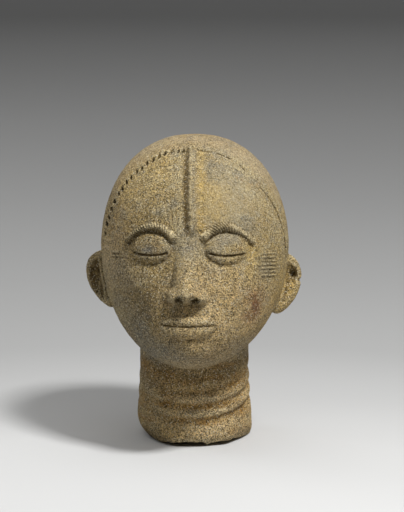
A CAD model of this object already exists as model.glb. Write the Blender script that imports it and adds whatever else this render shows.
import itertools
import math

import bmesh
import bpy
import numpy as np
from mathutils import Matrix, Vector
from mathutils.kdtree import KDTree


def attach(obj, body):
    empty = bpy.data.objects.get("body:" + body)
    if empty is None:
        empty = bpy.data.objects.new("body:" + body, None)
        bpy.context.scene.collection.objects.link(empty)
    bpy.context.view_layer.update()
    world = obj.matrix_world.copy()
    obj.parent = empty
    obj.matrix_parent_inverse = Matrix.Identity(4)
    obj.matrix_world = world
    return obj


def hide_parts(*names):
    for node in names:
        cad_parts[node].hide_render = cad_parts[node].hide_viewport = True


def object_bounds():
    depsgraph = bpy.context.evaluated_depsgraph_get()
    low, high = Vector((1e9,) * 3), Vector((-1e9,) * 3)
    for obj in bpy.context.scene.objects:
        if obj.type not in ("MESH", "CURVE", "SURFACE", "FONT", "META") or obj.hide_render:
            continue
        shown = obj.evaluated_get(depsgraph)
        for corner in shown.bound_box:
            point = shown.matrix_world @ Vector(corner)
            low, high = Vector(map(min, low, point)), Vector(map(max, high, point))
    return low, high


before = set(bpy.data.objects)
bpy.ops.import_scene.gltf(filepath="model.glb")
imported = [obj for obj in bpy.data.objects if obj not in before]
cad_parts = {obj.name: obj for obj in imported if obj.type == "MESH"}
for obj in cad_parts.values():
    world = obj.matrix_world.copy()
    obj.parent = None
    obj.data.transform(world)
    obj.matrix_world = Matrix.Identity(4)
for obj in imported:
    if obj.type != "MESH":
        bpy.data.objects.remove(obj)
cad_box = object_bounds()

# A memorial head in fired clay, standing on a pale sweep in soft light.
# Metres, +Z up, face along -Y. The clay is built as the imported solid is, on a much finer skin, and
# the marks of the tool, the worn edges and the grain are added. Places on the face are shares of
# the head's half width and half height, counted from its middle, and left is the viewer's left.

# Driving sizes of the head
HEAD_HEIGHT = 0.157
HEAD_WIDTH = 0.126
HEAD_DEPTH = 0.136
HEAD_BACK = 0.001
HEAD_LEAN = math.radians(9.0)
FACE_DEPTH_SHARE = 0.49
JAW_FORWARD = 0.015

# Roundness of the head above and below its middle: 2 is an ellipse, and more is squarer
WIDTH_POWERS = (2.2, 2.0)
FACE_POWERS = (2.2, 3.0)
NAPE_POWERS = (2.2, 1.9)

# Driving sizes of the neck and its foot
NECK_HEIGHT = 0.051
NECK_TOP_WIDTH = 0.074
NECK_BASE_WIDTH = 0.079
NECK_DEPTH_SHARE = 0.98
NECK_SOCKET = 0.040
NECK_GROOVES = 3
LOWEST_GROOVE = 0.0272
GROOVE_PITCH = 0.0100
GROOVE_DEPTH = 0.0025
GROOVE_WIDTH = 0.0057
GROOVE_LEAN = math.radians(14.0)
FOOT_WEAR = 0.0025
FOOT_WEAR_HEIGHT = 0.009
FOOT_GAP = 0.0031
FOOT_GAP_DEPTH = 0.009
FOOT_GAP_TURN = 0.30
FOOT_GAP_SPREAD = 0.85

# Chips out of the foot's edge: how many times the wear, at which turn about the neck, and how wide
FOOT_CHIPS = ((2.8, -1.15, 0.55), (1.7, 1.15, 0.45))

# Ears: the reach from the head's middle, the height, how far the centre lies below it, and the marks
LEFT_EAR_REACH = 0.0753
LEFT_EAR_HEIGHT = 0.040
LEFT_EAR_DROP = 0.0203
LEFT_EAR_TAPER = 0.36
RIGHT_EAR_REACH = 0.0728
RIGHT_EAR_HEIGHT = 0.041
RIGHT_EAR_DROP = 0.0225
RIGHT_EAR_TAPER = 0.25
RIGHT_EAR_FILL = 0.5
EAR_BACK = 0.004
EAR_TUCK = 0.0042
EAR_THICKNESS = 0.013
EAR_RIM = 0.0028
EAR_TURN = math.radians(16.0)
LEFT_EAR_FOLD = ((-0.0650, -0.0078), (-0.0607, -0.0309))
LEFT_EAR_FOLD_RAISE = 0.0026
LEFT_EAR_FOLD_EDGES = (0.0012, 0.0025, 0.0045)
LEFT_EAR_FOLD_GROOVE = (0.0016, 0.0008)
RIGHT_EAR_DENT = 0.0012
RIGHT_EAR_DENT_LEVEL = -0.0199
RIGHT_EAR_DENT_HALF = 0.0014
RIGHT_EAR_DENT_FROM = (0.0670, 0.0705)
RIGHT_EAR_PIT = (0.0672, -0.0155)
RIGHT_EAR_PIT_HALF = (0.0026, 0.0032)
RIGHT_EAR_PIT_DEPTH = 0.0035

# How far the parts of the face stand out of the egg, or lie in it
NOSE_REACH = 0.0140
LID_REACH = 0.0052
SOCKET_DEPTH = 0.0026
LIP_REACH = 0.0032
CHEEK_REACH = 0.0024
CHIN_REACH = 0.0050
MUZZLE_REACH = 0.0030
SLIT_DEPTH = 0.0013
SLIT_WIDTH = 0.0020
NOSTRIL_DEPTH = 0.0052
NOSTRIL_HALF = (0.0032, 0.0050, 0.0036)

# Places on the face
EYE = (0.40, 0.03)
LID_HALF = (0.225, 0.130)
SOCKET_HALF = (0.32, 0.19)
SLIT_DROP = 0.060
SLIT_CURVE = 0.022
SLIT_HALF = 0.20
NOSE_ROOT = 0.10
NOSE_TIP = -0.35
NOSE_BASE = -0.43
NOSE_WING = (0.125, -0.375)
NOSTRIL = (0.085, -0.425)
MOUTH_LEVEL = -0.615
MOUTH_HALF = 0.30
MOUTH_CURVE = 0.012
UPPER_LIP = 0.044
LOWER_LIP = 0.052
CHIN_LEVEL = -0.85
CHEEK = (0.53, -0.32)

# Raised and cut ornament. Each temple has a number of bars, their pitch, and the places of their ends
BROW_WIDTH = 0.0062
BROW_RAISE = 0.0026
BROW_INNER = (0.13, 0.085)
BROW_OUTER = (0.69, 0.065)
BROW_ARCH = 0.135
BROW_NOTCH = 0.0020
BROW_NOTCH_PITCH = 0.0019
BROW_NOTCH_SLANT = 0.7
RIDGE_LEFT = 0.0044
RIDGE_RIGHT = 0.0078
RIDGE_RAISE = 0.0021
RIDGE_FURROW = 0.0010
RIDGE_FOOT = 0.12
RIDGE_TOP = 0.885
RIDGE_DRIFT = 0.002
RIDGE_STREAK = 0.0003
SCRATCH_LEVELS = (0.18, 0.50)
SCRATCHES = ((-0.115, -0.155), (-0.155, -0.215), (-0.195, -0.275))
SCRATCH_WIDTH = 0.0016
SCRATCH_DEPTH = 0.00045
HAIRLINE_LEAN = math.radians(25.0)
HAIRLINE_FORWARD = 0.0072
HAIRLINE_STEP = 0.0007
HAIRLINE_LEVEL = 0.025
HAIRLINE_LEFT_SWING = 0.13
HAIRLINE_RIGHT_SWING = 0.055
HAIRLINE_CUT = 0.0007
HAIRLINE_WIDTH = 0.0013
HAIRLINE_PITCH = 0.0055
HAIRLINE_BOW = 0.0032
HAIRLINE_BOW_PLACE = (-0.061, 0.015)
HAIRLINE_DOUBLE = 0.0028
HOLE_COUNT = 18
HOLE_START = 1.25
HOLE_HALF = (0.0011, 0.0017)
HOLE_DEPTH = 0.0020
HOLE_STRAY = (0.0008, 0.0007)
HOLE_LEAN = 0.4
SIDE_NICK = ((0.0504, -0.0158, 0.0496), (0.0517, -0.0143, 0.0476))
CROWN_NICK = ((0.0243, -0.0157, 0.0722), (0.0264, -0.0171, 0.0708))
NICK_WIDTH = 0.0018
NICK_DEPTH = 0.0009
LEFT_TEMPLE = (3, 0.0024, (-0.86, -0.68))
RIGHT_TEMPLE = (7, 0.0024, (0.73, 0.90))
TEMPLE_TOP = -0.011
TEMPLE_RAISE = 0.0009
TEMPLE_BAR_SHARE = 0.7

# Unevenness left by the hand, and grain
HAND_WAVE = 0.0005
HAND_WAVE_SIZE = 0.019
SKIN_LUMP = 0.00012
SKIN_LUMP_SIZE = 0.0045
SKIN_GRIT = 0.00013
SKIN_GRIT_SIZE = 0.0015

# Colours of the clay. Each stain has the name of its mask, its strength and its colour
OCHRE = (0.345, 0.255, 0.115, 1)
BUFF = (0.400, 0.335, 0.200, 1)
STONE = (0.260, 0.232, 0.163, 1)
RUST = (0.330, 0.195, 0.070, 1)
YELLOW_GRAIN = (0.45, 0.31, 0.095, 1)
CREAM = (0.85, 0.76, 0.55, 1)
PIT_BROWN = (0.030, 0.020, 0.010, 1)
STAINS = (
    ("warm", 0.6, (0.620, 0.415, 0.180, 1)),
    ("umber", 0.60, (0.120, 0.080, 0.036, 1)),
    ("grey", 1.0, (0.195, 0.184, 0.150, 1)),
    ("yellow", 0.8, (0.480, 0.335, 0.115, 1)),
    ("pink", 0.6, (0.400, 0.265, 0.150, 1)),
    ("cream", 0.7, (0.620, 0.480, 0.280, 1)),
    ("red", 1.0, (0.155, 0.046, 0.027, 1)),
    ("blue", 0.8, (0.140, 0.155, 0.170, 1)),
    ("soil", 0.75, (0.270, 0.140, 0.034, 1)),
    ("hollow", 0.75, (0.075, 0.047, 0.019, 1)),
    ("edge", 0.55, (0.560, 0.470, 0.290, 1)),
    ("dark", 0.95, PIT_BROWN),
)

# Stained patches of the head's front, for each mask: the strength, the place as shares across and up,
# and the half width and half height
PATCHES = {
    "grey": (
        (1.0, 0.8, -0.13, 0.007, 0.009),
        (0.7, 0.58, 0.19, 0.01, 0.006),
        (0.6, 0.05, 0.05, 0.007, 0.01),
        (1.0, -0.3, -0.84, 0.018, 0.009),
        (0.8, -0.52, -0.66, 0.009, 0.013),
        (0.5, 0.42, 0.45, 0.018, 0.022),
        (0.5, -0.74, -0.18, 0.012, 0.014),
        (0.4, 0.1, -0.92, 0.016, 0.006),
        (0.4, 0.2, 0.75, 0.01, 0.01),
        (0.7, 0.33, 0.12, 0.01, 0.004),
        (0.5, 0.62, -0.85, 0.012, 0.01),
    ),
    "yellow": (
        (0.8, 0.66, -0.02, 0.006, 0.012),
        (0.7, 0.93, -0.25, 0.008, 0.03),
        (0.6, 0.3, 0.42, 0.009, 0.014),
        (0.6, -0.62, 0.6, 0.012, 0.016),
        (0.5, -0.3, 0.72, 0.01, 0.012),
        (0.5, -0.45, -0.1, 0.01, 0.01),
    ),
    "red": (
        (1.0, 0.69, -0.47, 0.0026, 0.005),
        (0.6, 0.62, -0.54, 0.004, 0.004),
        (0.5, 0.69, -0.38, 0.006, 0.006),
    ),
    "blue": ((1.0, -0.42, 0.01, 0.0042, 0.0035),),
    "umber": (
        (1.0, -0.45, -0.42, 0.018, 0.024),
        (0.4, -0.4, 0.12, 0.014, 0.006),
    ),
    "cream": (
        (0.5, 0.25, -0.35, 0.02, 0.03),
        (0.6, -0.86, -0.05, 0.01, 0.014),
    ),
    "warm": ((0.8, -0.8, 0.05, 0.012, 0.028),),
    "smooth": (
        (1.0, 0.42, 0.42, 0.026, 0.03),
        (-0.6, -0.7, 0.0, 0.02, 0.03),
    ),
}

# Patches of the ears, across and up from the head's middle, with half width and half height
LEFT_EAR_EARTH = ((-0.0690, -0.0180), (0.0045, 0.0125))
LEFT_EAR_PALE = ((-0.0637, -0.0185), (0.0015, 0.0110))
RIGHT_EAR_YELLOW = ((0.0690, -0.0265), (0.0060, 0.0090))
RIGHT_EAR_DARK = (RIGHT_EAR_PIT, (0.0030, 0.0040))

# How fine the clay's mottling and grain are, in cells a metre
MOTTLE_SCALE = 30
RUST_SCALE = 46
CLUSTER_SCALE = 70
PATCH_SCALE = 90
BREAKUP_SCALE = 150
LUMP_SCALE = 420
PIT_SCALE = 560
GRAIN_SCALE = 1300.0
SAND_SCALE = 1750
GRAIN_RELIEF = 0.0012

# Fineness of the mesh
CLAY_GRAIN = 0.00056
SKIN_TRIANGLES = 194000
HEAD_STEPS = (576, 480)
EAR_STEPS = (128, 96)
NECK_STEPS = 384
NECK_RING_STEP = 0.0006
FINGER_PASSES = 10
FINGER_GRAIN = 0.0009
FINGER_STRENGTH = 0.8
HOLLOW_PASSES = 12

# The photographer's set: distances out and up from the head, and how pale the paper is at each
PAPER_REACHES = (0.14, 0.25, 0.36, 0.52, 0.80, 1.25, 1.94, 3.00, 4.50)
PAPER_SHADES = (0.575, 0.57, 0.46, 0.37, 0.345, 0.325, 0.313, 0.26, 0.148)
PAPER_REACH = 5.0
PAPER_BEHIND = 0.25
CAMERA_TURN = math.radians(3.5)
CAMERA_RISE = math.radians(11.5)
CAMERA_DISTANCE = 1.6
CAMERA_TARGET = Vector((0, 0, 0.1))
CAMERA_AIM = Vector((0.0049, 0.005, 0.1231))
LENS = 165.2
FLOOR_RADIUS = 3.4
SWEEP_RADIUS = 0.6
SWEEP_HEIGHT = 4.4
SWEEP_STEPS = 96

# Lights: the way toward each, its distance, its side and its power, and how strong the surround is
KEY = ((0.38, -0.33, 0.87), 1.6, 0.26, 27)
FILL = ((-0.85, 0.35, 0.6), 1.7, 0.8, 5)
SURROUND = 1.0

HALF_WIDTH = HEAD_WIDTH / 2
HALF_HEIGHT = HEAD_HEIGHT / 2
HEAD_MIDDLE = np.array([0.0, -HEAD_BACK, NECK_HEIGHT + HALF_HEIGHT * math.cos(HEAD_LEAN)])
LEAN_COS, LEAN_SIN = math.cos(HEAD_LEAN), math.sin(HEAD_LEAN)
LEAN = np.array([[1, 0, 0], [0, LEAN_COS, LEAN_SIN], [0, -LEAN_SIN, LEAN_COS]])


def to_world(points):
    """Points of the head's own axes in the frame."""
    return points @ LEAN.T + HEAD_MIDDLE


def to_head(points):
    """Points of the frame in the head's own axes."""
    return (points - HEAD_MIDDLE) @ LEAN


def ramp(low, high, value):
    """0 below low, 1 above high, and a smooth ramp between."""
    t = np.clip((value - low) / (high - low), 0, 1)
    return t * t * (3 - 2 * t)


def bell(value, middle, spread):
    """1 at the middle, falling off softly to either side."""
    return np.exp(-(((value - middle) / spread) ** 2))


def melt(a, b, reach):
    """The higher of two heights, with the crease between them filled over reach, or less if low."""
    reach = np.clip(2 * np.maximum(a, b), 1e-6, reach)
    share = np.clip(0.5 + 0.5 * (a - b) / reach, 0, 1)
    return b + (a - b) * share + reach * share * (1 - share)


def lumps(points, size, seed):
    """Soft random unevenness between -1 and 1, with lumps of about this size."""
    table = np.random.default_rng(seed).uniform(-1, 1, 65536)
    cell = points / size
    base = np.floor(cell).astype(np.int64)
    t = ramp(0, 1, cell - base)
    total = np.zeros(len(points))
    for corner in itertools.product((0, 1), repeat=3):
        index = (base + corner) * [73856093, 19349663, 83492791]
        key = (index[:, 0] ^ index[:, 1] ^ index[:, 2]) & 65535
        total += table[key] * np.prod(np.where(corner, t, 1 - t), axis=1)
    return total


def pellet(x, z, middle, half, height, edge=0.5):
    """The height of a pressed-on pellet of clay. Edge 0.5 is a half ellipse, and more fades softly."""
    across = (x / HALF_WIDTH - middle[0]) / half[0]
    up = (z / HALF_HEIGHT - middle[1]) / half[1]
    return height * np.maximum(1 - across**2 - up**2, 0) ** edge


def egg(unit):
    """Points of the head's plain egg, in the head's own axes, for points of a unit sphere."""
    s = np.clip(unit[:, 2], -1, 1)
    ring = np.sqrt(np.clip(1 - s**2, 1e-12, None))
    across, along = unit[:, 0] / ring, unit[:, 1] / ring

    def profile(powers):
        power = np.where(s > 0, *powers)
        return np.maximum(1 - np.abs(s) ** power, 0) ** (1 / power)

    face = HEAD_DEPTH * FACE_DEPTH_SHARE * profile(FACE_POWERS)
    nape = HEAD_DEPTH * (1 - FACE_DEPTH_SHARE) * profile(NAPE_POWERS)
    depth = np.where(along < 0, face, nape)
    jaw = -JAW_FORWARD * np.where(s < 0, s**2, 0)
    x = HALF_WIDTH * profile(WIDTH_POWERS) * across
    return np.stack([x, depth * along + jaw, HALF_HEIGHT * s], axis=1)


def on_egg(x_share, z_share):
    """The point of the plain egg's front at these shares of its half width and half height."""
    across, s = np.broadcast_arrays(np.asarray(x_share, float), np.clip(z_share, -0.999, 0.999))
    power = np.where(s > 0, *WIDTH_POWERS)
    across = np.clip(across / (1 - np.abs(s) ** power) ** (1 / power), -1, 1)
    ring = np.sqrt(1 - s**2)
    unit = np.stack([across * ring, -np.sqrt(1 - across**2) * ring, s], axis=-1)
    return egg(unit.reshape(-1, 3))


def nose(x, z):
    """A wedge that rises from between the eyes to a round tip, with two wings and a level underside."""
    up = z / HALF_HEIGHT
    run = np.clip((NOSE_ROOT - up) / (NOSE_ROOT - NOSE_TIP), 0, 1)
    under = np.clip((NOSE_TIP - up) / (NOSE_TIP - NOSE_BASE), 0, 1)
    half = HALF_WIDTH * (0.12 + 0.06 * run)
    across = np.maximum(1 - (x / half) ** 2, 0)
    bridge = NOSE_REACH * 0.98 * run**1.1 * across * np.sqrt(1 - under**2)
    wing = pellet(np.abs(x), z, NOSE_WING, (0.090, 0.085), NOSE_REACH * 0.66)
    return melt(bridge, wing, 0.003) * ramp(NOSE_BASE - 0.02, NOSE_BASE + 0.04, up) * (run > 0)


def mouth_line_at(share):
    """The level of the mouth line at this share of the way to its corners."""
    return HALF_HEIGHT * (MOUTH_LEVEL + MOUTH_CURVE * share**2)


def lips(x, z):
    """Two closed lips that taper to the corners and meet at the mouth line."""
    share = np.clip(np.abs(x) / (MOUTH_HALF * HALF_WIDTH), 0, 1)
    taper = np.sqrt(1 - share**2)
    line = mouth_line_at(share)
    dip = 0.010 * HALF_HEIGHT * bell(x, 0, 0.06 * HALF_WIDTH)
    upper_half = UPPER_LIP * HALF_HEIGHT * taper + 1e-6
    lower_half = LOWER_LIP * HALF_HEIGHT * taper + 1e-6
    upper = np.maximum(1 - ((z - line - upper_half + dip) / upper_half) ** 2, 0) ** 0.5
    lower = np.maximum(1 - ((z - line + lower_half) / lower_half) ** 2, 0) ** 0.5
    return LIP_REACH * np.maximum(0.9 * upper, lower) * taper**0.6


def face_relief(x, z):
    """How far the face stands out of the egg, along the head's own front."""
    side = np.abs(x)
    relief = pellet(side, z, CHEEK, (0.36, 0.28), CHEEK_REACH, 2)
    relief += pellet(x, z, (0, MOUTH_LEVEL), (0.44, 0.24), MUZZLE_REACH, 1.5)
    relief += pellet(x, z, (0, CHIN_LEVEL), (0.27, 0.15), CHIN_REACH, 1.5)
    relief -= pellet(side, z, EYE, SOCKET_HALF, SOCKET_DEPTH, 1.2)
    relief += pellet(side, z, EYE, LID_HALF, LID_REACH, 0.6)
    return relief + lips(x, z) + nose(x, z)


def new_object(name, data):
    """A new object in the scene."""
    obj = bpy.data.objects.new(name, data)
    bpy.context.scene.collection.objects.link(obj)
    return obj


def mesh_object(name, bm):
    """Writes a bmesh into a new object."""
    mesh = bpy.data.meshes.new(name)
    bm.to_mesh(mesh)
    bm.free()
    return new_object(name, mesh)


def vectors(mesh, name):
    """One three-number property of every vertex, as rows of an array."""
    flat = np.empty(len(mesh.vertices) * 3)
    mesh.vertices.foreach_get(name, flat)
    return flat.reshape(-1, 3)


def place(mesh, points):
    """Moves every vertex to its row of the array."""
    mesh.vertices.foreach_set("co", np.asarray(points, float).ravel())
    mesh.update()


def make_ball(name, around, up):
    """A closed ball of radius 1, with this many steps around and from pole to pole."""
    turn = np.arange(around) * math.tau / around
    fall = np.arange(1, up)[:, None] * math.pi / up
    x, y = np.sin(fall) * np.cos(turn), np.sin(fall) * np.sin(turn)
    rings = np.stack([x, y, np.cos(fall) + 0 * turn], axis=-1).reshape(-1, 3)
    here = np.arange(len(rings)).reshape(up - 1, around)
    beside = np.roll(here, -1, axis=1)
    top, bottom = len(rings), len(rings) + 1
    faces = np.stack([here[:-1], here[1:], beside[1:], beside[:-1]], axis=-1).reshape(-1, 4).tolist()
    faces += [(top, a, b) for a, b in np.stack([here[0], beside[0]], axis=1).tolist()]
    faces += [(bottom, b, a) for a, b in np.stack([here[-1], beside[-1]], axis=1).tolist()]
    mesh = bpy.data.meshes.new(name)
    mesh.from_pydata(np.vstack([rings, [[0, 0, 1], [0, 0, -1]]]).tolist(), [], faces)
    return new_object(name, mesh)


def crowd_forward(unit):
    """Turns a unit sphere's points about its axis so that they stand closer together on the face."""
    turn = np.arctan2(unit[:, 0], -unit[:, 1])
    turn -= 0.5 * np.sin(turn)
    ring = np.hypot(unit[:, 0], unit[:, 1])
    return np.stack([ring * np.sin(turn), -ring * np.cos(turn), unit[:, 2]], axis=1)


def make_head():
    """The egg with the face raised on its front."""
    head = make_ball("head", *HEAD_STEPS)
    points = egg(crowd_forward(vectors(head.data, "co")))
    front = ramp(-0.10 * HEAD_DEPTH, -0.20 * HEAD_DEPTH, points[:, 1])
    points[:, 1] -= face_relief(points[:, 0], points[:, 2]) * front
    place(head.data, to_world(points))
    return head


def groove_depth(turn, z, y):
    """How deep the neck is ringed. The rings dip at the front, and fade round to the left and upward."""
    level = z - math.tan(GROOVE_LEAN) * y
    lines = LOWEST_GROOVE + GROOVE_PITCH * np.arange(NECK_GROOVES)
    gaps = np.abs(level - lines[:, None])
    strength = (0.55 + 0.45 * np.cos(turn - 0.7)) * (1 - 0.18 * np.argmin(gaps, axis=0))
    return GROOVE_DEPTH * strength * np.exp(-((2 * gaps.min(axis=0) / GROOVE_WIDTH) ** 2))


def join_rings(bm, rings):
    """Faces between each ring of vertices and the next."""
    for lower, upper in itertools.pairwise(rings):
        for i in range(len(lower)):
            j = (i + 1) % len(lower)
            bm.faces.new((lower[i], lower[j], upper[j], upper[i]))


def make_neck():
    """A column of low soft rolls, a little wider at the foot, that runs up inside the head."""
    turn = np.arange(NECK_STEPS) * math.tau / NECK_STEPS
    bm = bmesh.new()
    rings = []
    for z in np.arange(-FOOT_WEAR, NECK_HEIGHT + NECK_SOCKET, NECK_RING_STEP):
        rise = min(max(z / NECK_HEIGHT, 0), 1)
        half = NECK_BASE_WIDTH / 2 + (NECK_TOP_WIDTH - NECK_BASE_WIDTH) / 2 * rise
        half = half - groove_depth(turn, z, -half * np.cos(turn))
        x, y = half * np.sin(turn), -half * NECK_DEPTH_SHARE * np.cos(turn)
        rings.append([bm.verts.new((x[i], y[i], z)) for i in range(NECK_STEPS)])
    join_rings(bm, rings)
    bm.faces.new(rings[0][::-1])
    bm.faces.new(rings[-1])
    return mesh_object("neck", bm)


def make_ear(side, span, height, drop, taper, fill):
    """An upright lens on the side of the head, its lower end bent in to the jaw, hollowed from the front.

    Fill is the share of the hollow's depth that is left full of clay in its lower half.
    """
    middle = np.array([side * 0.955 * HALF_WIDTH, EAR_BACK, -drop])
    half = np.array([span - abs(middle[0]), EAR_THICKNESS / 2, height / 2])
    cos, sin = math.cos(side * EAR_TURN), math.sin(side * EAR_TURN)
    spin = np.array([[cos, -sin, 0], [sin, cos, 0], [0, 0, 1]])
    rise = np.linspace(-1, 1, 101)
    widest = np.max(np.sqrt(1 - rise**2) * (1 + taper * rise))

    def shaped(ball, size):
        unit = vectors(ball.data, "co")
        points = unit * size
        points[:, 0] *= (1 + taper * unit[:, 2]) / widest
        points[:, 0] -= side * EAR_TUCK * np.clip(-unit[:, 2], 0, 1) ** 2
        return points

    ear = make_ball("ear", *EAR_STEPS)
    place(ear.data, to_world(shaped(ear, half) @ spin.T + middle))
    hollow = make_ball("hollow", *EAR_STEPS)
    scoop = shaped(hollow, half - [EAR_RIM, 0, EAR_RIM])
    scoop[:, 1] *= 1 - fill * ramp(0.20, -0.10, scoop[:, 2] / half[2])
    scoop[:, 1] -= EAR_THICKNESS * 0.52
    place(hollow.data, to_world(scoop @ spin.T + middle))
    modify(ear, "BOOLEAN", object=hollow, operation="DIFFERENCE")
    bpy.data.objects.remove(hollow)
    return ear


def modify(obj, kind, **settings):
    """Makes an object's mesh what a modifier with these settings shows."""
    modifier = obj.modifiers.new(kind, kind)
    for key, value in settings.items():
        setattr(modifier, key, value)
    graph = bpy.context.evaluated_depsgraph_get()
    mesh = bpy.data.meshes.new_from_object(obj.evaluated_get(graph))
    obj.modifiers.clear()
    obj.data = mesh


def press_together(lumps_of_clay):
    """Puts several closed lumps of clay into one object and gives them one even skin."""
    bm = bmesh.new()
    for lump in lumps_of_clay:
        bm.from_mesh(lump.data)
        bpy.data.objects.remove(lump)
    obj = mesh_object("clay_head", bm)
    modify(obj, "REMESH", mode="VOXEL", voxel_size=CLAY_GRAIN)
    return obj


class Net:
    """The edges of a mesh, for averaging over neighbours."""

    def __init__(self, mesh):
        edges = np.empty(len(mesh.edges) * 2, int)
        mesh.edges.foreach_get("vertices", edges)
        a, b = edges.reshape(-1, 2).T
        self.start = np.concatenate([a, b])
        self.end = np.concatenate([b, a])
        self.total = len(mesh.vertices)
        self.count = np.bincount(self.start, minlength=self.total)

    def average(self, values):
        """The mean of each vertex's neighbours, for one number or three a vertex."""
        columns = values.reshape(self.total, -1).T
        sums = [np.bincount(self.start, column[self.end], self.total) for column in columns]
        return (np.array(sums) / self.count).T.reshape(values.shape)


def fill_creases(mesh, weight, passes):
    """Fills inward creases as a wet finger does, and leaves what stands out alone."""
    net = Net(mesh)
    points = vectors(mesh, "co")
    for _ in range(passes):
        normals = vectors(mesh, "normal")
        outward = np.clip(((net.average(points) - points) * normals).sum(1), 0, None)
        points = points + normals * (outward * weight * FINGER_STRENGTH)[:, None]
        place(mesh, points)


def finger_weight(points):
    """Where the wet finger goes: behind the ears, under the jaw and down the nape, not over the face."""
    x, y, z = to_head(points).T
    face = ramp(-0.30, -0.42, y / HEAD_DEPTH)
    above_jaw = ramp(-0.97, -0.90, z / HALF_HEIGHT)
    above_rings = ramp(0.75 * NECK_HEIGHT, NECK_HEIGHT, points[:, 2])
    beside = ramp(0.97, 1.0, np.abs(x) / HALF_WIDTH) * (y < EAR_BACK)
    in_ear = beside * ramp(0.44, 0.36, np.abs(z + LEFT_EAR_DROP) / LEFT_EAR_HEIGHT)
    return (1 - face * above_jaw) * above_rings * (1 - in_ear)


def wave(points, size):
    """Soft unevenness between about -1 and 1, the same on every run."""
    generator = np.random.default_rng(11)
    total = np.zeros(len(points))
    for _ in range(9):
        direction = generator.normal(size=3)
        direction /= np.linalg.norm(direction) * size * generator.uniform(0.7, 1.6)
        total += np.sin(points @ direction + generator.uniform(0, math.tau))
    return total / 4


def nearest(points, path):
    """How far each point is from a path of straight steps, its share of the way along, and its offset.

    The path's length comes last. Points beyond the reach of any carving are left at a great distance.
    """
    reach = 0.012
    inside = np.all((points > path.min(0) - reach) & (points < path.max(0) + reach), axis=1)
    close = np.flatnonzero(inside)
    near = points[close]
    gaps = np.ones(len(points))
    along = np.zeros(len(points))
    offsets = np.ones((len(points), 3))
    travelled = 0.0
    for a, b in itertools.pairwise(path):
        step = b - a
        length = np.linalg.norm(step)
        share = np.clip((near - a) @ step / length**2, 0, 1)
        away = near - a - share[:, None] * step
        gap = np.linalg.norm(away, axis=1)
        closer = gap < gaps[close]
        here = close[closer]
        gaps[here] = gap[closer]
        along[here] = travelled + share[closer] * length
        offsets[here] = away[closer]
        travelled += length
    return gaps, along / travelled, offsets, travelled


def behind_relief(local):
    """The plain egg straight behind each point of the face, so that lines run true over the relief."""
    front = on_egg(local[:, 0] / HALF_WIDTH, local[:, 2] / HALF_HEIGHT)
    return np.where(local[:, 1:2] < 0, front, local)


def cord(distance, width, height):
    """The height of a round cord laid on the clay."""
    return height * np.maximum(1 - (2 * distance / width) ** 2, 0)


def ends(along, first, last):
    """Fades a cord in over its first share and out over its last."""
    return ramp(0, first, along) * ramp(0, last, 1 - along)


def brow_strands(skin, side):
    """How far each point is from a brow's middle line, the fade at its ends, the rise and the nicks."""
    run = np.linspace(0, 1, 40)
    x = BROW_INNER[0] + (BROW_OUTER[0] - BROW_INNER[0]) * run
    z = BROW_INNER[1] + (BROW_OUTER[1] - BROW_INNER[1]) * run + BROW_ARCH * np.sin(math.pi * run**0.85)
    gap, along, offset, length = nearest(skin, on_egg(side * x, z))
    strand = (along * length + side * BROW_NOTCH_SLANT * offset[:, 2]) / BROW_NOTCH_PITCH
    nick = (0.5 - 0.5 * np.cos(math.tau * strand)) ** 1.4 * ramp(0.10, 0.26, along)
    nick *= (0.75 + 0.25 * lumps(skin, 0.006, 3)) * (1 - ramp(0.36, 0.52, gap / BROW_WIDTH))
    return gap, ends(along, 0.10, 0.07), offset[:, 2], nick


def lay_brows(skin):
    """An arched cord over each eye, nicked across at a slant like a twisted rope."""
    height = np.zeros(len(skin))
    for side in (-1, 1):
        gap, fade, _, nick = brow_strands(skin, side)
        height += fade * (cord(gap, BROW_WIDTH, BROW_RAISE) - BROW_NOTCH * nick)
    return height


def ridge_middle(up):
    """How far to the right the ridge's crest has drifted at this share of the head's half height."""
    return RIDGE_DRIFT * (RIDGE_TOP - up) / (RIDGE_TOP - RIDGE_FOOT)


def lay_ridge(skin):
    """The upright ridge on the forehead, steep and furrowed on its left, easy on its right."""
    z = np.linspace(RIDGE_FOOT, RIDGE_TOP, 50)
    gap, along, _, _ = nearest(skin, on_egg(ridge_middle(z) / HALF_WIDTH, z))
    middle = ridge_middle(skin[:, 2] / HALF_HEIGHT)
    right = RIDGE_RAISE * (1 - ramp(0, RIDGE_RIGHT, gap))
    drop = (RIDGE_RAISE + RIDGE_FURROW) * ramp(0, RIDGE_LEFT, gap)
    left = RIDGE_RAISE - drop + RIDGE_FURROW * ramp(RIDGE_LEFT, 1.8 * RIDGE_LEFT, gap)
    streaks = lumps(skin * [0.4, 0.4, 1], 0.0016, 41) * ramp(1.4 * RIDGE_LEFT, RIDGE_LEFT, gap)
    left += RIDGE_STREAK * streaks
    return ends(along, 0.12, 0.05) * np.where(skin[:, 0] > middle, right, left)


def scratch_forehead(skin):
    """Three thin scratches that run down to the bridge, left of the ridge."""
    depth = np.zeros(len(skin))
    z = np.linspace(*SCRATCH_LEVELS, 20)
    for sides in SCRATCHES:
        gap, along, _, _ = nearest(skin, on_egg(np.linspace(*sides, 20), z))
        depth += ends(along, 0.2, 0.3) * cord(gap, SCRATCH_WIDTH, SCRATCH_DEPTH)
    return -depth


def nick_scalp(local):
    """Two short nicks on the right of the scalp."""
    depth = np.zeros(len(local))
    for nick in (SIDE_NICK, CROWN_NICK):
        depth += cord(nearest(local, np.array(nick))[0], NICK_WIDTH, NICK_DEPTH)
    return -depth


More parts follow.
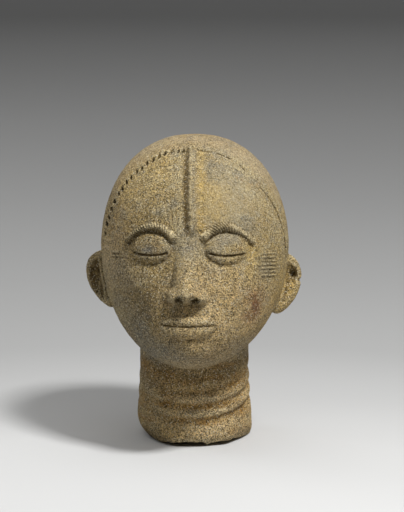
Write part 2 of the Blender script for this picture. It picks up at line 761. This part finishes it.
def shape_ears(local, outward):
    """The fold along the left ear's cheek side, and the dent and the pit of the right ear."""
    x, z = local[:, 0], local[:, 2]
    front = ramp(-0.1, -0.4, outward[:, 1])
    (top_x, top_z), (end_x, end_z) = LEFT_EAR_FOLD
    share = (z - top_z) / (end_z - top_z)
    off = x - (top_x + (end_x - top_x) * np.clip(share, 0, 1))
    rise, flat, foot = LEFT_EAR_FOLD_EDGES
    groove = 0.45 * bell(off, *LEFT_EAR_FOLD_GROOVE)
    fold = (ramp(-rise, 0, off) - groove) * ramp(foot, flat, off)
    fold *= ramp(-0.15, 0.10, share) * ramp(1.2, 0.95, share)
    pit = spot_at(local, RIGHT_EAR_PIT, RIGHT_EAR_PIT_HALF)
    rim = ramp(*RIGHT_EAR_DENT_FROM, x) * bell(z, RIGHT_EAR_DENT_LEVEL, RIGHT_EAR_DENT_HALF)
    moved = local.copy()
    moved[:, 1] += front * (RIGHT_EAR_PIT_DEPTH * pit - LEFT_EAR_FOLD_RAISE * fold)
    moved[:, 0] -= RIGHT_EAR_DENT * rim
    return moved


def lay_temple_bars(skin):
    """Short level bars raised beside each eye, fewer on the left."""
    height = np.zeros(len(skin))
    for bars, pitch, sides in (LEFT_TEMPLE, RIGHT_TEMPLE):
        for i in range(bars):
            level = TEMPLE_TOP - i * pitch / HALF_HEIGHT
            gap, along, _, _ = nearest(skin, on_egg(np.linspace(*sides, 8), level))
            uneven = 0.75 + 0.35 * lumps(skin, 0.004, 50 + i)
            height += ends(along, 0.15, 0.15) * cord(gap, pitch * TEMPLE_BAR_SHARE, TEMPLE_RAISE) * uneven
    return height


def hairline_place(local):
    """How far behind the hairline each point lies, and how far it is round from the crown.

    The line lies in a leaning plane over the crown, and swings forward as it comes down the sides.
    """
    x, y, z = local.T
    run = np.arctan2(-x / HALF_WIDTH, z / HALF_HEIGHT) * (HALF_WIDTH + HALF_HEIGHT) / 2
    behind = y * math.cos(HAIRLINE_LEAN) + z * math.sin(HAIRLINE_LEAN) + HAIRLINE_FORWARD
    swing = np.where(run > 0, HAIRLINE_LEFT_SWING, HAIRLINE_RIGHT_SWING)
    return behind + swing * np.maximum(np.abs(run) - HAIRLINE_LEVEL, 0), run


def prick_holes(behind, run):
    """Holes pricked with a stick on the left half, each a little different."""
    generator = np.random.default_rng(5)
    stray_along, stray_across = HOLE_STRAY
    depth = np.zeros(len(run))
    for i in range(HOLE_COUNT):
        middle = (i + HOLE_START) * HAIRLINE_PITCH + generator.uniform(-stray_along, stray_along)
        back = generator.uniform(-stray_across, stray_across)
        half = generator.uniform(*HOLE_HALF)
        strength = generator.uniform(0.55, 1.0)
        lean = HOLE_LEAN * (behind - back)
        off = np.hypot((run - middle + lean) / half, (behind - back) / (half * 1.4))
        depth = np.maximum(depth, HOLE_DEPTH * strength * np.maximum(1 - off**4, 0))
    return depth


def cut_line(behind, run, local):
    """A thin broken line cut on the right half, doubled above the temple."""
    breaks = ramp(-0.10, 0.30, lumps(local, 0.007, 8))
    off = behind + HAIRLINE_BOW * bell(run, *HAIRLINE_BOW_PLACE) + 0.0006 * lumps(local, 0.010, 9)
    breaks = np.maximum(breaks, ramp(-0.108, -0.114, run))
    line = cord(np.abs(off), HAIRLINE_WIDTH, HAIRLINE_CUT) * breaks
    beside = cord(np.abs(off + HAIRLINE_DOUBLE), HAIRLINE_WIDTH, HAIRLINE_CUT * 0.6)
    return np.maximum(line, beside * ramp(-0.056, -0.064, run) * (1 - 0.5 * breaks))


def cut_hairline(local):
    """A line over the head from ear to ear, with the scalp behind it a little proud of the face."""
    behind, run = hairline_place(local)
    above_ears = ramp(-0.06 * HALF_HEIGHT, 0.04 * HALF_HEIGHT, local[:, 2])
    step = HAIRLINE_STEP * ramp(-0.001, 0.001, behind) * (1 - ramp(0.004, 0.030, behind))
    cut = np.where(run < 0, cut_line(behind, run, local), prick_holes(behind, run))
    return (step - cut) * above_ears


def cut_slits(local):
    """The closed line of each pair of lids."""
    depth = np.zeros(len(local))
    run = np.linspace(-1, 1, 30)
    level = EYE[1] - SLIT_DROP + SLIT_CURVE * run**2
    for side in (-1, 1):
        across = side * (EYE[0] + SLIT_HALF * run)
        path = np.stack([across * HALF_WIDTH, 0 * run, level * HALF_HEIGHT], axis=1)
        gap, along, _, _ = nearest(local * [1, 0, 1], path)
        depth += ends(along, 0.06, 0.06) * cord(gap, SLIT_WIDTH, SLIT_DEPTH) * (local[:, 1] < 0)
    return -depth


def press_nostrils(points):
    """Two small deep dents in the underside of the nose."""
    local = to_head(points)
    for side in (-1, 1):
        middle = on_egg(side * NOSTRIL[0], NOSTRIL[1])[0] - [0, NOSE_REACH * 0.62, 0]
        off = (local - middle) / NOSTRIL_HALF
        inside = np.maximum(1 - (off**2).sum(1), 0) ** 0.8
        local += inside[:, None] * NOSTRIL_DEPTH * np.array([0, 0.62, 0.78])
    return to_world(local)


def gap_top(turn):
    """How high the broken undercut under the front of the foot reaches, at each turn about the neck."""
    ring = np.stack([np.cos(turn), np.sin(turn), 0 * turn], axis=1) * NECK_BASE_WIDTH / 2
    ragged = 1 + 0.40 * lumps(ring, 0.006, 21) + 0.30 * lumps(ring, 0.002, 22)
    return FOOT_GAP * ragged * np.exp(-(((turn - FOOT_GAP_TURN) / FOOT_GAP_SPREAD) ** 4))


def wear_foot(points):
    """Rounds the foot's edge off unevenly, and leaves a broken undercut at the front."""
    x, y, z = points.T
    turn = np.arctan2(x, -y)
    chip = 1 + 0.45 * np.sin(3 * turn + 0.6) + 0.3 * np.sin(7 * turn) + 0.2 * np.sin(13 * turn + 2)
    for depth, middle, spread in FOOT_CHIPS:
        chip += depth * bell(turn, middle, spread)
    low = np.clip(1 - z / (FOOT_WEAR_HEIGHT * (0.6 + 0.3 * chip)), 0, 1)
    top = gap_top(turn)
    wear = FOOT_WEAR * chip * low**2 + FOOT_GAP_DEPTH * (1 - ramp(top - 0.0002, top + 0.0002, z))
    radius = np.hypot(x, y)
    core = NECK_BASE_WIDTH / 4
    shrink = 1 - np.where(radius > core, wear / np.maximum(radius, core), 0)
    return points * np.stack([shrink, shrink, np.ones_like(shrink)], axis=1)


def carve(obj):
    """Lays on and cuts in the ornament, along the skin's own outward direction."""
    points = vectors(obj.data, "co")
    local = to_head(points)
    skin = behind_relief(local)
    height = lay_brows(skin) + lay_ridge(skin) + lay_temple_bars(skin) + scratch_forehead(skin)
    height += cut_hairline(local) + cut_slits(local) + nick_scalp(local)
    height *= np.linalg.norm(local - skin, axis=1) < 2 * NOSE_REACH
    uneven = SKIN_LUMP * lumps(points, SKIN_LUMP_SIZE, 31) + SKIN_GRIT * lumps(points, SKIN_GRIT_SIZE, 32)
    height += HAND_WAVE * wave(points, HAND_WAVE_SIZE) + uneven
    outward = vectors(obj.data, "normal")
    local = shape_ears(to_head(points + outward * height[:, None]), outward @ LEAN)
    points = wear_foot(press_nostrils(to_world(local)))
    place(obj.data, np.clip(points, np.array(cad_box[0]) - [0, 0, 1], cad_box[1]))


def hollowness(mesh):
    """How far each vertex lies under the smoothed skin, in metres: above 0 in hollows, below on edges."""
    net = Net(mesh)
    points = vectors(mesh, "co")
    smooth = points
    for _ in range(HOLLOW_PASSES):
        smooth = net.average(smooth)
    return ((smooth - points) * vectors(mesh, "normal")).sum(1)


def finest(points):
    """Where the carving is so fine that the mesh stays as it is."""
    local = to_head(points)
    skin = behind_relief(local)
    keep = (np.abs(hairline_place(local)[0]) < 0.0040) & (local[:, 2] > -0.16 * HALF_HEIGHT)
    for side in (-1, 1):
        keep |= brow_strands(skin, side)[0] < 0.7 * BROW_WIDTH
    return keep


def thin_out(obj, keep):
    """Leaves the mesh dense where the form turns or the carving is fine, and open where it is plain."""
    obj.data.calc_loop_triangles()
    group = obj.vertex_groups.new(name="keep")
    group.add(np.flatnonzero(keep).tolist(), 1.0, "REPLACE")
    share = min(1, SKIN_TRIANGLES / len(obj.data.loop_triangles))
    settings = {"vertex_group": group.name, "invert_vertex_group": True, "ratio": share}
    modify(obj, "DECIMATE", use_collapse_triangulate=True, **settings)


def cut_flat(obj):
    """Cuts the foot off level with the floor and closes it."""
    bm = bmesh.new()
    bm.from_mesh(obj.data)
    everything = bm.verts[:] + bm.edges[:] + bm.faces[:]
    bmesh.ops.bisect_plane(bm, geom=everything, plane_co=(0, 0, 0), plane_no=(0, 0, -1), clear_outer=True)
    bmesh.ops.holes_fill(bm, edges=[e for e in bm.edges if e.is_boundary])
    bmesh.ops.triangulate(bm, faces=[f for f in bm.faces if len(f.verts) > 3])
    bm.to_mesh(obj.data)
    bm.free()


def carry_over(points, values, targets):
    """Values known at some points, read at the nearest of them to each target."""
    tree = KDTree(len(points))
    for i, point in enumerate(points):
        tree.insert(point, i)
    tree.balance()
    return values[[tree.find(target)[1] for target in targets]]


def paint(mesh, name, values):
    """Writes one number a vertex for the material to read."""
    layer = mesh.attributes.new(name, "FLOAT", "POINT")
    layer.data.foreach_set("value", np.asarray(values, np.float32))


def patches(local, name):
    """All of one mask's soft round patches on the front of the head."""
    total = np.zeros(len(local))
    for strength, across, up, half_width, half_height in PATCHES.get(name, ()):
        middle = on_egg(across, up)[0]
        total += strength * spot_at(local, middle[::2], (half_width, half_height))
    return total * (local[:, 1] < 0.02)


def spot_at(local, middle, half):
    """A soft round patch seen from the front, at this place across and up from the head's middle."""
    x, _, z = local.T
    return np.exp(-(((x - middle[0]) / half[0]) ** 2 + ((z - middle[1]) / half[1]) ** 2))


def paint_stains(mesh, hollow):
    """Masks for the material: each stain, and smooth, which is below 0 where the clay is coarser."""
    points = vectors(mesh, "co")
    outward = vectors(mesh, "normal")
    local = to_head(points)
    behind, run = hairline_place(local)
    up = local[:, 2] / HALF_HEIGHT
    scalp = ramp(-0.002, 0.010, behind) * ramp(0.3, 0.6, up)
    low = ramp(0.05, -0.45, up)
    lit = ramp(-0.55, 0.05, local[:, 0] / HALF_WIDTH)
    nicks, pale = brow_marks(behind_relief(local))
    slope, crest, strip = ridge_marks(local)
    soil, roll, shade = neck_marks(points, hollow)
    earth = ramp(0.00006, 0.00050, hollow) + ear_earth(local) + mouth_earth(local)
    earth += 0.9 * ramp(0.0002, 0.0008, -cut_slits(local))
    smooth = 0.3 * scalp - 0.3 * low + patches(local, "smooth")
    masks = {
        "grey": 0.25 * scalp + 0.6 * crest,
        "yellow": 0.7 * strip + 0.8 * spot_at(local, *RIGHT_EAR_YELLOW) * (local[:, 0] > 0.062),
        "pink": 0.4 * scalp,
        "warm": low * (0.8 * lit + 0.3 * (up < -1)),
        "red": 0,
        "blue": 0,
        "soil": soil,
        "cream": roll + 1.2 * spot_at(local, *LEFT_EAR_PALE),
        "umber": shade + 0.8 * slope + 0.15 * scalp + 0.6 * ramp(0.15, 0.7, -outward[:, 2]),
        "hollow": earth + 1.5 * nicks + 0.95 * slope,
        "edge": ramp(0.00006, 0.00040, -hollow) + 0.8 * pale,
        "dark": darkest(points, outward, local, behind, run),
    }
    for name, mask in masks.items():
        paint(mesh, name, mask + patches(local, name))
    paint(mesh, "smooth", np.clip(smooth, -1, 1))


def brow_marks(skin):
    """Where the brows' nicks are dark, and where their upper side is pale between them."""
    nicks = np.zeros(len(skin))
    pale = np.zeros(len(skin))
    for side in (-1, 1):
        gap, fade, rise, nick = brow_strands(skin, side)
        on_cord = fade * ramp(0.55, 0.40, gap / BROW_WIDTH)
        nicks += on_cord * nick
        pale += on_cord * (1 - nick) * ramp(-0.0015, 0.0010, rise)
    return nicks, pale


def ridge_marks(local):
    """The ridge's dark left slope, its grey crest, and the yellow strip on its right."""
    up = local[:, 2] / HALF_HEIGHT
    off = local[:, 0] - ridge_middle(up)
    on = ramp(RIDGE_FOOT, RIDGE_FOOT + 0.06, up) * ramp(RIDGE_TOP, RIDGE_TOP - 0.05, up)
    on *= local[:, 1] < 0
    slope = bell(off, -0.40 * RIDGE_LEFT, 0.50 * RIDGE_LEFT)
    crest = bell(off, 0.0022, 0.0018)
    strip = bell(off, 0.80 * RIDGE_RIGHT, 0.45 * RIDGE_RIGHT)
    return on * slope, on * crest, on * strip


def mouth_earth(local):
    """Earth caught where the lips meet."""
    x, y, z = local.T
    share = np.abs(x) / (MOUTH_HALF * HALF_WIDTH)
    line = mouth_line_at(np.clip(share, 0, 1))
    return 1.3 * bell(z, line, 0.0008) * ramp(1.05, 0.90, share) * (y < -0.03)


def ear_earth(local):
    """Earth caught in the left ear's hollow, and in the crease in front of the right ear."""
    x, _, z = local.T
    in_left = spot_at(local, *LEFT_EAR_EARTH) * (x < -0.0655)
    crease = x - (0.0652 - 0.0029 * (-0.0165 - z) / 0.0115)
    in_right = np.exp(-((crease / 0.0009) ** 2) - ((z + 0.0245) / 0.0085) ** 4)
    return 1.3 * in_left + 1.2 * in_right * (x > 0.055)


def darkest(points, outward, local, behind, run):
    """The insides of the holes, the cut line, the nicks, nostrils, ear's pit and gap under the foot."""
    y, z = local[:, 1], local[:, 2]
    above_ears = ramp(-0.16 * HALF_HEIGHT, -0.08 * HALF_HEIGHT, z)
    holes = ramp(0.0001, 0.0008, prick_holes(behind, run)) * (run > 0)
    line = ramp(0.00025, 0.0007, cut_line(behind, run, local)) * (run < 0)
    line *= 0.6 + 0.5 * ramp(-0.095, -0.105, run)
    pit = spot_at(local, *RIGHT_EAR_DARK) * (y < EAR_BACK + EAR_THICKNESS / 3)
    nicks = ramp(0.0002, 0.0007, -nick_scalp(local))
    radius = np.hypot(points[:, 0], points[:, 1])
    under = ramp(0.0350, 0.0335, radius) * (points[:, 2] < 2 * FOOT_GAP)
    nostril = (NOSTRIL[0] * HALF_WIDTH, NOSTRIL[1] * HALF_HEIGHT + 0.0020)
    mirrored = np.abs(local) * [1, 0, 0] + local * [0, 1, 1]
    inside = 1.8 * spot_at(mirrored, nostril, (0.0028, 0.0030)) * ramp(-0.5, 0.0, -outward[:, 2])
    inside *= y < -0.4 * HEAD_DEPTH
    return np.clip((holes + line) * above_ears + pit + nicks + under + inside, 0, 1)


def neck_marks(points, hollow):
    """Orange earth in the neck's grooves, pale rolls at the right, and a dark left side and throat."""
    x, y, z = points.T
    turn = np.arctan2(x, -y)
    on_neck = ramp(0.062, 0.054, z) * (np.hypot(x, y) < 0.046)
    groove = groove_depth(turn, z, y) / GROOVE_DEPTH
    broken = 0.65 + 0.5 * lumps(points, 0.006, 61)
    streaks = ramp(0.05, 0.6, lumps(points * [0.35, 0.35, 1.4], 0.0055, 63))
    soil = ramp(0.15, 0.8, groove) * broken
    soil = soil + 0.4 * ramp(0.0001, 0.0006, hollow) + 0.7 * streaks
    right = bell(turn, 0.45, 0.6) * ramp(0.040, 0.032, z)
    roll = right * ramp(0.50, 0.15, groove) * (1.1 + 0.7 * lumps(points, 0.009, 62))
    shade = 1.1 * bell(z, 0.050, 0.010) + 0.4 * bell(turn, -0.9, 0.5)
    return on_neck * soil, on_neck * roll, on_neck * np.clip(shade, 0, 1.1)


def make_clay_head():
    """The whole sculpture in one piece, carved on a fine skin and then thinned."""
    left_ear = make_ear(-1, LEFT_EAR_REACH, LEFT_EAR_HEIGHT, LEFT_EAR_DROP, LEFT_EAR_TAPER, 0)
    right = (RIGHT_EAR_REACH, RIGHT_EAR_HEIGHT, RIGHT_EAR_DROP, RIGHT_EAR_TAPER, RIGHT_EAR_FILL)
    right_ear = make_ear(1, *right)
    head = press_together([make_head(), make_neck(), left_ear, right_ear])
    passes = round(FINGER_PASSES * (FINGER_GRAIN / CLAY_GRAIN) ** 2)
    fill_creases(head.data, finger_weight(vectors(head.data, "co")), passes)
    carve(head)
    fine_points = vectors(head.data, "co")
    fine_hollow = hollowness(head.data)
    thin_out(head, finest(fine_points))
    head.vertex_groups.clear()
    cut_flat(head)
    points = np.clip(vectors(head.data, "co"), *cad_box)
    place(head.data, points)
    paint_stains(head.data, carry_over(fine_points, fine_hollow, points))
    head.data.shade_smooth()
    return head


class Nodes:
    """A short way to write a material's nodes."""

    def __init__(self, name):
        self.material = bpy.data.materials.new(name)
        self.material.use_nodes = True
        self.tree = self.material.node_tree
        self.shader = self.tree.nodes["Principled BSDF"]
        self.where = self.add("TexCoord").outputs["Object"]

    def add(self, kind, inputs=None, **settings):
        """A node with its inputs and settings."""
        node = self.tree.nodes.new("ShaderNode" + kind)
        for key, value in settings.items():
            setattr(node, key, value)
        for key, value in (inputs or {}).items():
            self.join(node.inputs[key], value)
        return node

    def join(self, socket, value):
        """Links a socket to another, or sets it to a value."""
        if isinstance(value, bpy.types.NodeSocket):
            self.tree.links.new(value, socket)
        else:
            socket.default_value = value

    def number(self, name):
        """A painted number of the mesh."""
        return self.add("Attribute", attribute_name=name).outputs["Fac"]

    def maths(self, operation, result, *others):
        """Takes in one number after another with the same operation."""
        for value in others:
            node = self.add("Math", operation=operation)
            self.join(node.inputs[0], result)
            self.join(node.inputs[1], value)
            result = node.outputs[0]
        return result

    def times(self, *values):
        return self.maths("MULTIPLY", *values)

    def plus(self, *values):
        return self.maths("ADD", *values)

    def noise(self, scale, detail, roughness):
        inputs = {"Vector": self.where, "Scale": scale, "Detail": detail, "Roughness": roughness}
        return self.add("TexNoise", inputs).outputs["Fac"]

    def rise(self, value, low, high):
        """0 below low, 1 above high, smooth between."""
        inputs = {"Value": value, "From Min": low, "From Max": high}
        return self.add("MapRange", inputs, interpolation_type="SMOOTHSTEP").outputs[0]

    def mix(self, share, first, second, blend="MIX"):
        node = self.add("Mix", data_type="RGBA", blend_type=blend)
        self.join(node.inputs[0], share)
        self.join(node.inputs[6], first)
        self.join(node.inputs[7], second)
        return node.outputs[2]


def stained_colour(n, patchy):
    """The clay's colour before its grain: broad mottling, and each painted stain with a broken edge."""
    broad = n.noise(MOTTLE_SCALE, 5, 0.7)
    colour = n.mix(n.rise(broad, 0.40, 0.62), OCHRE, BUFF)
    colour = n.mix(n.rise(patchy, 0.47, 0.63), colour, STONE)
    rusty = n.rise(n.noise(RUST_SCALE, 4, 0.7), 0.54, 0.70)
    colour = n.mix(n.times(rusty, 0.7), colour, RUST)
    breakup = n.plus(0.45, n.rise(n.noise(BREAKUP_SCALE, 4, 0.7), 0.25, 0.75))
    for name, strength, stain in STAINS:
        colour = n.mix(n.times(n.number(name), breakup, strength), colour, stain)
    return colour


def clay_material():
    """Gritty fired clay: mottled ochre and grey, sand grains light and dark, pits, stains and earth."""
    n = Nodes("gritty_clay")
    patchy = n.noise(PATCH_SCALE, 5, 0.65)
    colour = stained_colour(n, patchy)
    grains = n.add("TexVoronoi", {"Vector": n.where, "Scale": GRAIN_SCALE})
    pick = n.add("SeparateColor", {"Color": grains.outputs["Color"]}).outputs
    dot = n.rise(grains.outputs["Distance"], 0.62, 0.30)
    coarse = n.maths("SUBTRACT", 1.0, n.times(n.number("smooth"), 0.6))
    bright = n.times(dot, coarse, n.rise(pick[1], 0.80, 0.86))
    dark = n.times(dot, coarse, n.rise(pick[2], 0.77, 0.86))
    sand = n.plus(n.noise(SAND_SCALE, 1, 0.5), n.times(pick[0], 0.25))
    sand_range = {"From Min": 0.42, "From Max": 0.83, "To Min": 0.28, "To Max": 1.86}
    shade = n.add("MapRange", {"Value": sand, **sand_range}).outputs[0]
    clustered = n.rise(n.noise(CLUSTER_SCALE, 3, 0.6), 0.38, 0.62)
    pit = n.times(n.rise(n.noise(PIT_SCALE, 2, 0.6), 0.62, 0.68), clustered)
    colour = n.mix(n.times(pick[2], 0.35), colour, YELLOW_GRAIN)
    tint = n.add("CombineXYZ", {"X": shade, "Y": shade, "Z": shade})
    colour = n.mix(coarse, colour, tint.outputs[0], "MULTIPLY")
    colour = n.mix(n.times(bright, 0.85), colour, CREAM)
    colour = n.mix(n.times(dark, 0.90), colour, PIT_BROWN)
    colour = n.mix(n.times(pit, 0.80), colour, PIT_BROWN)
    n.join(n.shader.inputs["Base Color"], colour)
    rough = n.add("MapRange", {"Value": patchy, "To Min": 0.80, "To Max": 0.98})
    n.join(n.shader.inputs["Roughness"], rough.outputs[0])
    n.join(n.shader.inputs["Specular IOR Level"], 0.25)
    raised = n.plus(sand, n.times(n.noise(LUMP_SCALE, 2, 0.5), 0.8), n.times(bright, 0.5))
    sunk = n.plus(n.times(pit, 0.6), n.times(dark, 0.5))
    height = n.times(n.maths("SUBTRACT", raised, sunk), coarse)
    bump = n.add("Bump", {"Height": height, "Strength": 1.0, "Distance": GRAIN_RELIEF})
    n.join(n.shader.inputs["Normal"], bump.outputs[0])
    return n.material


def sweep_material():
    """Pale paper that falls off to grey with distance."""
    n = Nodes("studio_paper")
    across, along, up = n.add("SeparateXYZ", {"Vector": n.where}).outputs
    along = n.plus(along, PAPER_BEHIND)
    flat = n.maths("POWER", n.plus(n.times(across, across), n.times(along, along)), 0.5)
    fall = n.add("ValToRGB", {"Fac": n.maths("DIVIDE", n.plus(flat, up), PAPER_REACH)})
    for i, (reach, value) in enumerate(zip(PAPER_REACHES, PAPER_SHADES, strict=True)):
        share = reach / PAPER_REACH
        element = fall.color_ramp.elements[i] if i < 2 else fall.color_ramp.elements.new(share)
        element.position = share
        element.color = (value, value, value * 0.99, 1)
    n.join(n.shader.inputs["Base Color"], fall.outputs[0])
    n.join(n.shader.inputs["Roughness"], 0.95)
    n.join(n.shader.inputs["Specular IOR Level"], 0.1)
    return n.material


def make_sweep():
    """A round floor that curves up into a wall on every side, so that every view has a plain ground."""
    profile = [(radius, 0.0) for radius in np.linspace(0, FLOOR_RADIUS, 24)[1:]]
    for angle in np.radians(np.linspace(6, 90, 15)):
        out, up = math.sin(angle), 1 - math.cos(angle)
        profile.append((FLOOR_RADIUS + SWEEP_RADIUS * out, SWEEP_RADIUS * up))
    profile.append((FLOOR_RADIUS + SWEEP_RADIUS, SWEEP_HEIGHT))
    bm = bmesh.new()
    centre = bm.verts.new((0, 0, 0))
    turns = -np.arange(SWEEP_STEPS) * math.tau / SWEEP_STEPS
    rings = []
    for radius, height in profile:
        rings.append([bm.verts.new((radius * math.cos(t), radius * math.sin(t), height)) for t in turns])
    for i in range(SWEEP_STEPS):
        bm.faces.new((centre, rings[0][i], rings[0][i - 1]))
    join_rings(bm, rings)
    sweep = mesh_object("studio_sweep", bm)
    sweep.data.shade_smooth()
    sweep.data.materials.append(sweep_material())
    return sweep


def add_light(name, direction, distance, size, power):
    """A square soft light that looks at the head and isn't seen itself."""
    light = bpy.data.lights.new(name, "AREA")
    light.size = size
    light.energy = power
    obj = new_object(name, light)
    toward = Vector(direction).normalized()
    obj.location = CAMERA_TARGET + toward * distance
    obj.rotation_euler = toward.to_track_quat("Z", "Y").to_euler()
    obj.visible_camera = False


def light_set():
    """A key from the upper right, a weak fill from behind on the left and an even light all round."""
    add_light("key", *KEY)
    add_light("fill", *FILL)
    world = bpy.data.worlds.new("surround")
    world.use_nodes = True
    background = world.node_tree.nodes["Background"]
    background.inputs[0].default_value = (1, 1, 1, 1)
    background.inputs[1].default_value = SURROUND
    bpy.context.scene.world = world
    bpy.context.scene.view_settings.view_transform = "Standard"


def make_camera():
    """The photograph's view."""
    camera = bpy.data.cameras.new("camera")
    camera.lens = LENS
    obj = new_object("camera", camera)
    level = math.cos(CAMERA_RISE)
    back = Vector((math.sin(CAMERA_TURN) * level, -math.cos(CAMERA_TURN) * level, math.sin(CAMERA_RISE)))
    obj.location = CAMERA_TARGET + back * CAMERA_DISTANCE
    obj.rotation_euler = (obj.location - CAMERA_AIM).to_track_quat("Z", "Y").to_euler()
    bpy.context.scene.camera = obj


clay_head = make_clay_head()
clay_head.data.materials.clear()
clay_head.data.materials.append(clay_material())
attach(clay_head, "root")
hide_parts("memorial_head")
make_sweep()
light_set()
make_camera()
